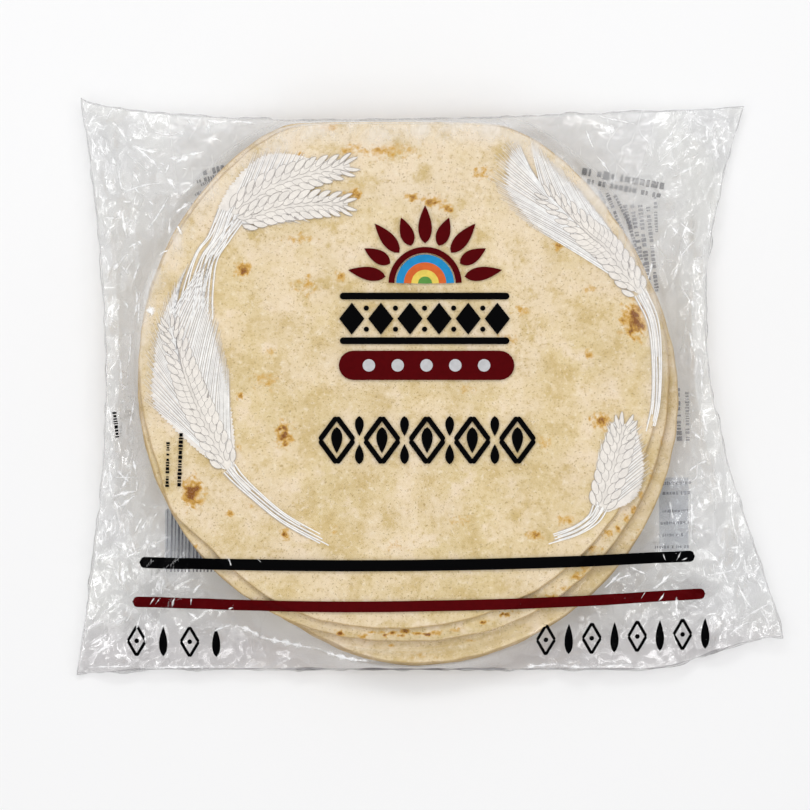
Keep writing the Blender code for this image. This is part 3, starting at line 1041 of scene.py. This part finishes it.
def printing(inks):
    """All of the front and back print."""
    sign = emblem()
    black_stripe = curved_bar(((139, 562.5), (320, 565), (440, 564.5), (560, 561.5), (695, 556)), 5.6, 8)
    maroon_stripe = curved_bar(((132, 602), (320, 606), (440, 605), (560, 601.5), (706, 594)), 5.4, 8)
    bars = []
    for i in range(14):
        x = 165.5 + 3.7 * i + 0.9 * ((i * 3 * GOLDEN_TURN) % 1.0)
        bars.append(bar((x + 1.0, 509), (x, 573), 0.45 + 0.75 * ((i * GOLDEN_TURN) % 1.0), 2))
    panel = [
        pixel_strip(line((675, 478), (675, 552), 44), 14.5, 16),
        pixel_strip(line((190, 510), (190, 570), 34), 26.0, 30),
    ]
    for name, strips, lift, ink, slot in (
        ("emblem_maroon", sign["maroon"], INK_LIFT, "maroon", "print_maroon"),
        ("emblem_black", sign["black"], INK_LIFT, "black", "print_black"),
        ("emblem_blue", sign["blue"], INK_LIFT, "blue", "print_black"),
        ("emblem_orange", sign["orange"], INK_LIFT, "orange", "print_maroon"),
        ("emblem_yellow", sign["yellow"], INK_LIFT, "yellow", "print_pale"),
        ("emblem_green", sign["green"], INK_LIFT, "leaf", "print_black"),
        ("emblem_dots", sign["silver"], DOT_LIFT, "silver", "print_pale"),
        ("name_band", name_band(), INK_LIFT, "black", "print_black"),
        ("stripe_black", [black_stripe], INK_LIFT, "black", "print_black"),
        ("stripe_maroon", [maroon_stripe], INK_LIFT, "maroon", "print_maroon"),
        ("corner_bands", corner_bands(), INK_LIFT, "black", "print_black"),
        ("batch_rows", text_rows(BATCH_ROWS, 51), INK_LIFT, "black", "print_black"),
        ("back_titles", text_rows(BACK_TITLE_ROWS, 52), BACK_LIFT, "back_dark", "print_black"),
        ("back_rows", text_rows(BACK_TEXT_ROWS, 53), BACK_LIFT, "back_grey", "print_black"),
        ("back_bars", bars, BACK_LIFT, "back_grey", "print_black"),
        ("back_panel", panel, PANEL_LIFT, "back_panel", "print_pale"),
    ):
        sheet = back_height if name.startswith("back_") else front_height
        draped(name, strips, sheet, lift, inks[ink], slot)
    wheat_print(inks["pale"], inks["white"], inks["line"], inks["shade"])


# Painted highlights, partly crease whitening, on the film: the pixels of a mark's two ends and its width in
# pixels.
GLINTS = (
    (103, 100, 119, 112, 2.5), (128, 105, 143, 111, 2.5), (142, 113, 148, 134, 3.2),
    (149, 113, 153, 126, 2.5), (151, 130, 180, 132, 2.2), (176, 132, 185, 133, 6.0),
    (187, 119, 191, 124, 4.0), (207, 120, 223, 122, 3.0), (208, 121, 210, 134, 2.6),
    (211, 139, 222, 142, 2.4), (204, 115, 276, 127, 2.0), (230, 121, 262, 125, 2.2),
    (111, 121, 127, 143, 4.2), (129, 143, 166, 178, 3.2), (164, 176, 176, 191, 4.4),
    (131, 144, 160, 152, 3.6), (90, 137, 97, 151, 3.4), (96, 138, 104, 155, 2.8), (104, 146, 111, 151, 4.6),
    (112, 156, 116, 166, 3.4), (120, 163, 123, 192, 3.4), (131, 169, 140, 185, 3.4),
    (122, 192, 164, 183, 2.4), (176, 163, 190, 157, 8.5), (168, 158, 182, 157, 3.0),
    (183, 155, 206, 151, 2.4), (159, 163, 166, 165, 3.0), (170, 160, 165, 176, 2.4),
    (148, 200, 155, 206, 5.0), (122, 201, 131, 201, 4.0), (103, 216, 118, 217, 2.8),
    (117, 217, 120, 208, 2.8), (106, 180, 113, 191, 5.0), (97, 192, 102, 198, 4.0),
    (122, 205, 127, 238, 3.2), (172, 192, 144, 234, 2.6), (176, 214, 191, 203, 4.4),
    (178, 226, 183, 236, 5.0), (171, 217, 170, 236, 2.8), (137, 240, 143, 246, 4.0),
    (127, 249, 138, 243, 2.2), (160, 256, 170, 251, 3.2), (112, 272, 118, 262, 3.4),
    (150, 306, 153, 318, 7.5), (135, 284, 133, 322, 2.8), (141, 286, 139, 330, 2.2),
    (112, 302, 109, 330, 2.4), (109, 498, 137, 491, 4.5), (112, 500, 118, 510, 7.0),
    (119, 507, 136, 494, 3.6), (110, 477, 137, 477, 1.6), (107, 466, 110, 497, 2.0),
    (116, 470, 131, 484, 4.6), (121, 489, 128, 472, 2.6), (92, 540, 96, 566, 2.4),
    (128, 548, 135, 556, 3.6), (131, 330, 127, 372, 2.0), (119, 352, 121, 390, 2.4),
    (137, 392, 129, 430, 2.2), (108, 402, 112, 436, 2.0), (140, 262, 132, 286, 2.4),
    (100, 250, 105, 285, 2.0), (126, 509, 134, 518, 3.2), (147, 519, 141, 530, 3.2),
    (103, 517, 106, 532, 2.8), (104, 533, 112, 528, 3.2), (145, 538, 148, 545, 4.0),
    (150, 545, 157, 548, 3.4), (121, 556, 124, 590, 4.0), (104, 566, 116, 570, 3.4),
    (113, 563, 123, 588, 2.6), (157, 577, 160, 596, 4.2), (165, 578, 161, 596, 2.6),
    (193, 594, 203, 583, 3.2), (89, 604, 94, 614, 4.0), (83, 614, 93, 621, 2.6), (100, 614, 119, 596, 2.4),
    (112, 624, 128, 617, 4.0), (187, 612, 198, 620, 3.0), (86, 648, 108, 634, 2.0),
    (90, 656, 116, 640, 2.4), (212, 632, 232, 624, 3.0), (230, 624, 262, 638, 5.0),
    (256, 636, 322, 649, 5.0), (316, 647, 374, 661, 5.0), (80, 669, 140, 667, 1.8),
    (149, 671, 188, 666, 2.2), (184, 667, 262, 671, 2.6), (141, 669, 234, 667, 2.0),
    (520, 669, 557, 665, 3.4), (553, 665, 594, 668, 3.0), (590, 668, 633, 665, 2.2),
    (630, 666, 664, 669, 2.0), (596, 115, 642, 125, 1.8), (598, 124, 618, 131, 8.0),
    (585, 126, 595, 152, 2.0), (595, 155, 610, 175, 2.8), (661, 146, 678, 122, 2.6),
    (666, 154, 695, 130, 2.4), (716, 128, 720, 160, 5.5), (722, 136, 726, 158, 3.0),
    (672, 178, 697, 166, 2.2), (678, 221, 697, 237, 3.2), (697, 238, 679, 260, 2.0),
    (680, 244, 689, 220, 2.2), (694, 264, 702, 274, 3.6), (699, 276, 701, 290, 3.4),
    (692, 300, 695, 308, 3.0), (669, 500, 674, 522, 2.6), (691, 480, 691, 551, 2.2),
    (696, 494, 703, 511, 4.4), (733, 478, 741, 550, 2.0), (712, 330, 708, 372, 2.2),
    (698, 352, 701, 396, 2.6), (703, 412, 709, 436, 2.4), (690, 330, 694, 350, 3.2),
    (712, 200, 708, 240, 2.2), (745, 556, 752, 580, 2.6), (762, 610, 772, 628, 2.4),
    (716, 470, 722, 500, 2.2), (650, 590, 673, 570, 3.8), (604, 588, 622, 569, 3.0),
    (614, 582, 632, 574, 2.6), (677, 597, 681, 624, 3.6), (738, 583, 755, 612, 2.4),
    (715, 560, 728, 584, 2.6), (706, 575, 740, 568, 2.2), (742, 620, 770, 604, 2.4),
    (730, 636, 752, 622, 2.6), (663, 552, 666, 561, 1.2), (681, 551, 676, 561, 1.4),
    (681, 560, 688, 557, 1.2), (229, 557, 232, 566, 3.2), (257, 558, 262, 562, 1.8),
    (149, 606, 155, 597, 1.2), (153, 607, 161, 597, 1.2), (191, 606, 192, 596, 1.4),
    (228, 609, 234, 607, 1.4), (658, 602, 665, 592, 1.4), (641, 599, 646, 591, 1.2),
)


def random_glints(seed, count):
    """Short painted highlights near the seals and the corners, as rows of their two ends and width in metres.
    """
    draw = np.random.default_rng(seed)
    x, y = plan(draw.random(count * 8), draw.random(count * 8))
    keep = draw.random(len(x)) < crinkle_share(x, y) ** 2.2
    x, y = x[keep][:count], y[keep][:count]
    u, _ = share_up(x, y)
    ray = np.arctan2(y - HUB[1], x - HUB[0])
    turn = np.where(np.minimum(u, 1.0 - u) < 0.13, np.pi / 2.0, ray) + draw.normal(0.0, 0.5, len(x))
    half = 1.3 * MM * 6.0 ** draw.random(len(x)) ** 1.3
    wide = np.clip(half * (0.08 + 0.20 * draw.random(len(x))), 0.28 * MM, 1.0 * MM)
    step_x, step_y = half * np.cos(turn), half * np.sin(turn)
    return np.column_stack((x - step_x, y - step_y, x + step_x, y + step_y, wide))


def glint_table():
    marks = np.array(GLINTS)
    given = np.column_stack((*marked_ends(marks), GLINT_BREADTH * marks[:, 4] * METRES_PER_PIXEL))
    return np.concatenate((given, random_glints(34, RANDOM_GLINTS)))


def glints(material):
    """Painted highlights where the film is creased, partly its whitening: narrow lenses with ragged sides,
    faint towards their rims.
    """
    draw = np.random.default_rng(35)
    strips, fades = [], []
    for x0, y0, x1, y1, wide in glint_table():
        length = math.dist((x0, y0), (x1, y1))
        steps = max(7, int(length / (0.6 * MM)))
        t = np.linspace(0.0, 1.0, steps)
        bow = 0.05 * length * draw.normal() * np.sin(np.pi * t)
        aside = np.array([y0 - y1, x1 - x0]) / length
        path = line((x0, y0), (x1, y1), steps) + aside * bow[:, None]
        swell = np.sin(np.pi * t ** (0.6 + 0.8 * draw.random())) ** 0.7
        ragged = 0.62 + 0.38 * np.sin(t * length / (1.1 * MM) + 6.0 * draw.random())
        half = 1.25 * wide * swell * ragged + 0.05 * MM
        keep = inside_bag(path[:, 0], path[:, 1], 1.2 * MM)
        if keep.sum() < 5:
            continue
        strips.append(ribbon(path, half, 5)[keep])
        fade = np.minimum(swell, 1.0)[:, None] * (1.0 - np.abs(np.linspace(-1.0, 1.0, 5))) ** 0.8
        fades.append(fade[keep].reshape(-1))
    piece = draped("film_glints", strips, front_height, GLINT_LIFT, material, "clear_film")
    set_values(piece, "fade", np.concatenate(fades))


def rim_shade_line(name, first, last, half_width, material):
    """Painted shade along the film's edge from one share of the way round to another, as a fine line of uneven
    width.
    """
    x, y = outline(np.linspace(first, last, 1201))
    x = lerp(HUB[0], x, RIM_INSET[0])
    y = lerp(HUB[1], y, RIM_INSET[1])
    wide = np.maximum(half_width * (1.0 + 0.47 * waves(x, y, 71, 12 * MM, 60 * MM)), 0.08 * MM)
    draped(name, [ribbon(np.column_stack((x, y)), wide)], front_height, RIM_LIFT, material, "clear_film")


# Materials


class Nodes:
    """A node tree, with a short call for each kind of node that is built in it."""

    def __init__(self, tree):
        self.tree = tree

    def fill(self, node, inputs):
        """Sets the inputs of a node, given by name or number: each is linked to a socket or holds a value."""
        for key, value in inputs.items():
            if isinstance(value, bpy.types.NodeSocket):
                self.tree.links.new(value, node.inputs[key])
            else:
                node.inputs[key].default_value = value

    def add(self, kind, inputs, output=0, **settings):
        """One output of a new node."""
        node = self.tree.nodes.new("ShaderNode" + kind)
        for key, value in settings.items():
            setattr(node, key, value)
        self.fill(node, inputs)
        return node.outputs[output]

    def shade(self, inputs):
        self.fill(self.tree.nodes["Principled BSDF"], inputs)

    def place(self, output="Object"):
        return self.add("TexCoord", {}, output)

    def axis(self, vector, name):
        return self.add("SeparateXYZ", {"Vector": vector}, name)

    def attribute(self, name):
        return self.add("Attribute", {}, "Fac", attribute_name=name)

    def noise(self, place, scale, detail, roughness=0.5, output="Fac"):
        inputs = {"Vector": place, "Scale": scale, "Detail": detail, "Roughness": roughness}
        return self.add("TexNoise", inputs, output)

    def cells(self, place, scale, feature, output):
        inputs = {"Vector": place, "Scale": scale}
        return self.add("TexVoronoi", inputs, output, voronoi_dimensions="2D", feature=feature)

    def spread(self, value, low, high, to_low=0.0, to_high=1.0):
        """Stretches the values between low and high to the range to_low to to_high."""
        inputs = {"Value": value, "From Min": low, "From Max": high, "To Min": to_low, "To Max": to_high}
        return self.add("MapRange", inputs, "Result")

    def maths(self, kind, first, second):
        return self.add("Math", {0: first, 1: second}, operation=kind)

    def times(self, first, second):
        return self.maths("MULTIPLY", first, second)

    def plus(self, first, second):
        return self.maths("ADD", first, second)

    def vectors(self, kind, *inputs):
        return self.add("VectorMath", dict(enumerate(inputs)), "Vector", operation=kind)

    def scaled(self, vector, factor):
        return self.add("VectorMath", {0: vector, "Scale": factor}, "Vector", operation="SCALE")

    def blended(self, share, below, above):
        """Mixes two colours by a share."""
        return self.add("Mix", {0: share, 6: below, 7: above}, 2, data_type="RGBA")


def new_material(name):
    material = bpy.data.materials.new(name)
    material.use_nodes = True
    return material, Nodes(material.node_tree)


def srgb(red, green, blue):
    """A colour given as 0 to 255 on screen, as the linear values that a shader takes."""
    shares = (c / 255.0 for c in (red, green, blue))
    return (*(((c + 0.055) / 1.055) ** 2.4 if c > 0.04 else c / 12.92 for c in shares), 1.0)


def bread_material():
    """Baked dough: cream, pale floury and yellow patches, fine specks, toasted spots by attribute, painted
    light upwards.
    """
    material, nodes = new_material("baked_dough")
    spread, times, plus = nodes.spread, nodes.times, nodes.plus
    place = nodes.place()
    toast = nodes.attribute("toast")
    wide = nodes.noise(place, 26.0, 3.0)
    patches = nodes.noise(place, 62.0, 5.0, 0.64)
    crumbs = nodes.noise(place, 280.0, 4.0, 0.70)
    specks = nodes.noise(place, 1000.0, 1.0)
    # Floury patches, and a painted lightening towards the bread's upper side.
    floury_and_lit_above = plus(spread(nodes.axis(place, "Y"), 0.04, 0.14), spread(wide, 0.52, 0.40, 0.0, 0.5))
    crumbly = times(spread(crumbs, 0.34, 0.66, -0.24, 0.24), spread(toast, 0.0, 0.30, 0.3, 1.0))
    ragged = plus(toast, crumbly)
    colour = nodes.blended(spread(wide, 0.38, 0.64), srgb(231, 210, 172), srgb(224, 203, 156))
    for share, over in (
        (times(floury_and_lit_above, 0.62), srgb(239, 222, 195)),
        (spread(patches, 0.51, 0.66), srgb(211, 186, 131)),
        (spread(patches, 0.47, 0.35), srgb(238, 219, 190)),
        (spread(crumbs, 0.54, 0.70, 0.0, 0.62), srgb(196, 168, 106)),
        (spread(crumbs, 0.45, 0.32, 0.0, 0.62), srgb(246, 232, 208)),
        (spread(specks, 0.64, 0.71, 0.0, 0.60), srgb(160, 130, 78)),
        # Darker tan at the rims: toasting, and painted shade of the line between tiers.
        (times(nodes.attribute("rim"), 0.60), srgb(184, 150, 96)),
        (spread(ragged, 0.16, 0.52), srgb(212, 165, 74)),
        (spread(ragged, 0.48, 0.86), srgb(134, 78, 4)),
    ):
        colour = nodes.blended(share, colour, over)
    height = plus(patches, times(crumbs, 0.5))
    bump = nodes.add("Bump", {"Strength": 0.75, "Distance": 0.6 * MM, "Height": height}, "Normal")
    nodes.shade({"Base Color": colour, "Roughness": 0.78, "Specular IOR Level": 0.25, "Normal": bump})
    return material


def film_material():
    """Clear film: it lets most light through, and mirrors more of it the more it leans away.

    Where it is loose it is broken into small flat facets: each cell of two random cell patterns
    leans its own way. Some borders between the larger cells are whitened by the crease there, which
    also paints highlights along the creases. It is a little milky where it bends over the breads and on
    its loose upper part, painted light that is brightest on the upper side, and darker towards its
    lower fold as painted shade.
    """
    material, nodes = new_material("clear_film")
    spread, times, plus, vectors = nodes.spread, nodes.times, nodes.plus, nodes.vectors
    place = nodes.place()
    upwards = nodes.axis(place, "Y")
    loose, crinkle = nodes.attribute("loose"), nodes.attribute("crinkle")

    offset = nodes.add("CombineXYZ", {"X": times(nodes.attribute("sheet"), 0.731)}, "Vector")
    bend = vectors("MULTIPLY", nodes.noise(place, 55.0, 1.0, output="Color"), (0.012, 0.012, 0.0))
    bent = vectors("MULTIPLY", vectors("ADD", vectors("ADD", place, bend), offset), (1.0, 0.45, 1.0))
    leans = []
    for scale, steepness in ((84.0, (0.60, 0.48, 0.0)), (190.0, (0.30, 0.24, 0.0))):
        way = vectors("SUBTRACT", nodes.cells(bent, scale, "F1", "Color"), (0.5, 0.5, 0.5))
        leans.append(vectors("MULTIPLY", way, steepness))
    tilt = nodes.scaled(vectors("ADD", *leans), crinkle)
    leaning = vectors("NORMALIZE", vectors("ADD", nodes.add("NewGeometry", {}, "Normal"), tilt))

    nodes.shade({"Base Color": srgb(244, 244, 245), "Metallic": 1.0, "Roughness": 0.16, "Normal": leaning})
    mirror = nodes.tree.nodes["Principled BSDF"].outputs["BSDF"]
    facing = nodes.add("LayerWeight", {"Blend": 0.5, "Normal": leaning}, "Facing")
    share = plus(times(nodes.maths("POWER", facing, 3.0), 0.85), spread(crinkle, 0.0, 0.4, 0.012, 0.095))
    # More of the loose film mirrors towards its lower fold, so it is darker there: painted shade.
    share = plus(share, times(loose, spread(upwards, -0.06, -0.13, 0.0, 0.020)))
    tint = spread(nodes.noise(place, 34.0, 3.0, 0.6), 0.40, 0.60)
    tint = nodes.blended(tint, srgb(253, 253, 252), srgb(251, 251, 251))
    # The loose film's clear part is darker along its lowest band: painted shade.
    tint = nodes.blended(times(loose, spread(upwards, -0.125, -0.150)), tint, srgb(247, 246, 246))
    clear = nodes.add("BsdfTransparent", {"Color": tint})
    film = nodes.add("MixShader", {0: share, 1: clear, 2: mirror})

    # Whitened lines along the larger cells' borders, which also paint in highlights on the creases.
    border = spread(nodes.cells(bent, 84.0, "DISTANCE_TO_EDGE", "Distance"), 0.010, 0.040, 1.0, 0.0)
    here = spread(nodes.noise(place, 70.0, 2.0), 0.52, 0.66)
    # Milky haze on the loose film away from the seals, laid only over its upper part: painted light.
    haze_lit_above = times(nodes.maths("SUBTRACT", loose, times(crinkle, 0.72)), spread(upwards, -0.12, -0.04))
    milky = spread(nodes.noise(bent, 95.0, 4.0, 0.6), 0.36, 0.64, 0.08, 0.42)
    white = plus(times(times(border, here), times(crinkle, 0.34)), times(haze_lit_above, 0.36))
    # Milky film over the top bread's rim, brightest along its upper half: partly painted light.
    white = plus(white, times(nodes.attribute("veil_and_light"), milky))
    scatter = nodes.add("BsdfPrincipled", {"Base Color": srgb(253, 253, 253), "Roughness": 0.4})
    creased = nodes.add("MixShader", {0: white, 1: film, 2: scatter})
    nodes.fill(nodes.tree.nodes["Material Output"], {"Surface": creased})
    return material


def glint_material():
    """Painted highlights on creased film, partly its whitening: its cover is full along a mark's middle and
    breaks up towards its rims.
    """
    material, nodes = new_material("painted_glint_film")
    broken = nodes.maths("SUBTRACT", nodes.noise(nodes.place(), 520.0, 3.0, 0.6), 0.5)
    cover = nodes.plus(nodes.attribute("fade"), nodes.times(broken, 1.5))
    alpha = nodes.spread(cover, 0.16, 0.86, 0.0, 0.92)
    nodes.shade({"Base Color": srgb(254, 254, 254), "Roughness": 0.35, "Alpha": alpha})
    return material


def edge_shade_material(name, colour, alpha):
    """Painted shade of film seen on its edge, and painted shadow along its lower fold: half clear, with its
    own colour.
    """
    material, nodes = new_material(name)
    nodes.shade({"Base Color": colour, "Roughness": 0.4, "Alpha": alpha})
    return material


# Each ink's colour on screen, its roughness and its cover.
INKS = {
    "black": ((3, 3, 4), 0.42, 1.0),
    "maroon": ((82, 4, 8), 0.42, 1.0),
    "blue": ((40, 140, 196), 0.42, 1.0),
    "yellow": ((230, 204, 96), 0.42, 1.0),
    "silver": ((196, 196, 198), 0.42, 1.0),
    "white": ((255, 254, 252), 0.42, 1.0),
    "pale": ((250, 244, 237), 0.5, 0.95),
    "line": ((178, 171, 166), 0.42, 1.0),
    "shade": ((202, 195, 190), 0.42, 1.0),
    "orange": ((214, 104, 52), 0.42, 1.0),
    "leaf": ((96, 150, 74), 0.42, 1.0),
    "back_dark": ((70, 70, 72), 0.5, 0.8),
    "back_grey": ((104, 108, 124), 0.5, 0.55),
    "back_panel": ((168, 182, 202), 0.5, 0.34),
}


def ink_material(name):
    """Ink on film, with a faint unevenness of its cover."""
    screen, roughness, alpha = INKS[name]
    colour = srgb(*screen)
    darker = (*(0.88 * c for c in colour[:3]), 1.0)
    material, nodes = new_material("ink_" + name)
    uneven = nodes.blended(nodes.spread(nodes.noise(nodes.place(), 340.0, 3.0), 0.35, 0.65), darker, colour)
    nodes.shade({"Base Color": uneven, "Roughness": roughness, "Specular IOR Level": 0.02, "Alpha": alpha})
    return material


def floor_material():
    material, nodes = new_material("pale_floor")
    cover = nodes.blended(nodes.noise(nodes.place(), 3.0, 2.0), srgb(243, 243, 243), srgb(246, 246, 246))
    nodes.shade({"Base Color": cover, "Roughness": 0.9, "Specular IOR Level": 0.1})
    return material


# Stage, light and camera


def stage_floor():
    points = FLOOR_HALF * np.array([[-1.0, -1.0, 0.0], [1.0, -1.0, 0.0], [1.0, 1.0, 0.0], [-1.0, 1.0, 0.0]])
    make_piece("pale_floor", points, [[0, 1, 2, 3]], floor_material())


def softbox(name, place, size, radiance):
    """A rectangular light that faces the bag, its power set from the brightness of its face."""
    light = bpy.data.lights.new(name, "AREA")
    light.shape = "RECTANGLE"
    light.size, light.size_y = size
    light.energy = radiance * math.pi * size[0] * size[1]
    lamp = bpy.data.objects.new(name, light)
    lamp.location = place
    lamp.rotation_euler = (-Vector(place)).to_track_quat("-Z", "Y").to_euler()
    bpy.context.scene.collection.objects.link(lamp)


def lighting():
    world = bpy.data.worlds.new("studio")
    world.use_nodes = True
    nodes = Nodes(world.node_tree)
    above = nodes.spread(nodes.axis(nodes.place("Generated"), "Z"), 0.860, 0.940)
    colour = nodes.blended(above, (0.600, 0.600, 0.605, 1.0), (1.20, 1.20, 1.21, 1.0))
    nodes.fill(nodes.tree.nodes["Background"], {"Color": colour, "Strength": 0.86})
    bpy.context.scene.world = world
    for name, azimuth, polar, size, radiance in (
        ("box_above", 97.0, 31.0, (1.0, 0.42), 7.6),
        ("box_upper_left", 148.0, 23.0, (0.62, 0.20), 4.6),
        ("box_left", 196.0, 32.0, (0.8, 0.30), 4.6),
        ("box_below", 262.0, 33.0, (0.9, 0.34), 2.2),
        ("box_lower_right", 318.0, 23.0, (0.6, 0.20), 4.6),
        ("box_right", 12.0, 32.0, (0.8, 0.32), 4.8),
    ):
        turn, lean = math.radians(azimuth), math.radians(polar)
        place = (math.cos(turn) * math.sin(lean), math.sin(turn) * math.sin(lean), math.cos(lean))
        softbox(name, tuple(LIGHT_DISTANCE * c for c in place), size, LIGHT_POWER * radiance)


def camera():
    """Looks straight down. Its field of view gives the photograph's scale at FOCUS_HEIGHT over the floor."""
    data = bpy.data.cameras.new("camera")
    data.sensor_width = SENSOR_WIDTH
    data.lens = SENSOR_WIDTH * (CAMERA_HEIGHT - FOCUS_HEIGHT) / (PICTURE_SIDE * METRES_PER_PIXEL)
    data.clip_start = 0.05
    eye = bpy.data.objects.new("camera", data)
    eye.location = (*at(PICTURE_SIDE / 2.0, PICTURE_SIDE / 2.0), CAMERA_HEIGHT)
    bpy.context.scene.collection.objects.link(eye)
    bpy.context.scene.camera = eye


def main():
    bpy.context.scene.view_settings.view_transform = "Standard"
    film_bag(film_material())
    glints(glint_material())
    # Painted shade: a grey line round the film's edge, and a darker painted contact shadow along the lower
    # fold.
    for name, first, last, half_width, edge, colour, alpha in (
        ("film_rim_shade", 0.0, 1.0, 0.30 * MM, "film_edge_shade", srgb(200, 200, 201), 0.5),
        ("film_fold_shadow", 0.012, 0.235, 0.42 * MM, "fold_shadow", srgb(126, 122, 122), 0.5),
        ("film_foot_shadow", 0.078, 0.165, 0.50 * MM, "foot_shadow", srgb(104, 98, 100), 0.55),
    ):
        rim_shade_line(name, first, last, half_width, edge_shade_material(edge, colour, alpha))
    stack_of_breads(bread_material())
    printing({name: ink_material(name) for name in INKS})
    stage_floor()
    lighting()
    camera()


main()
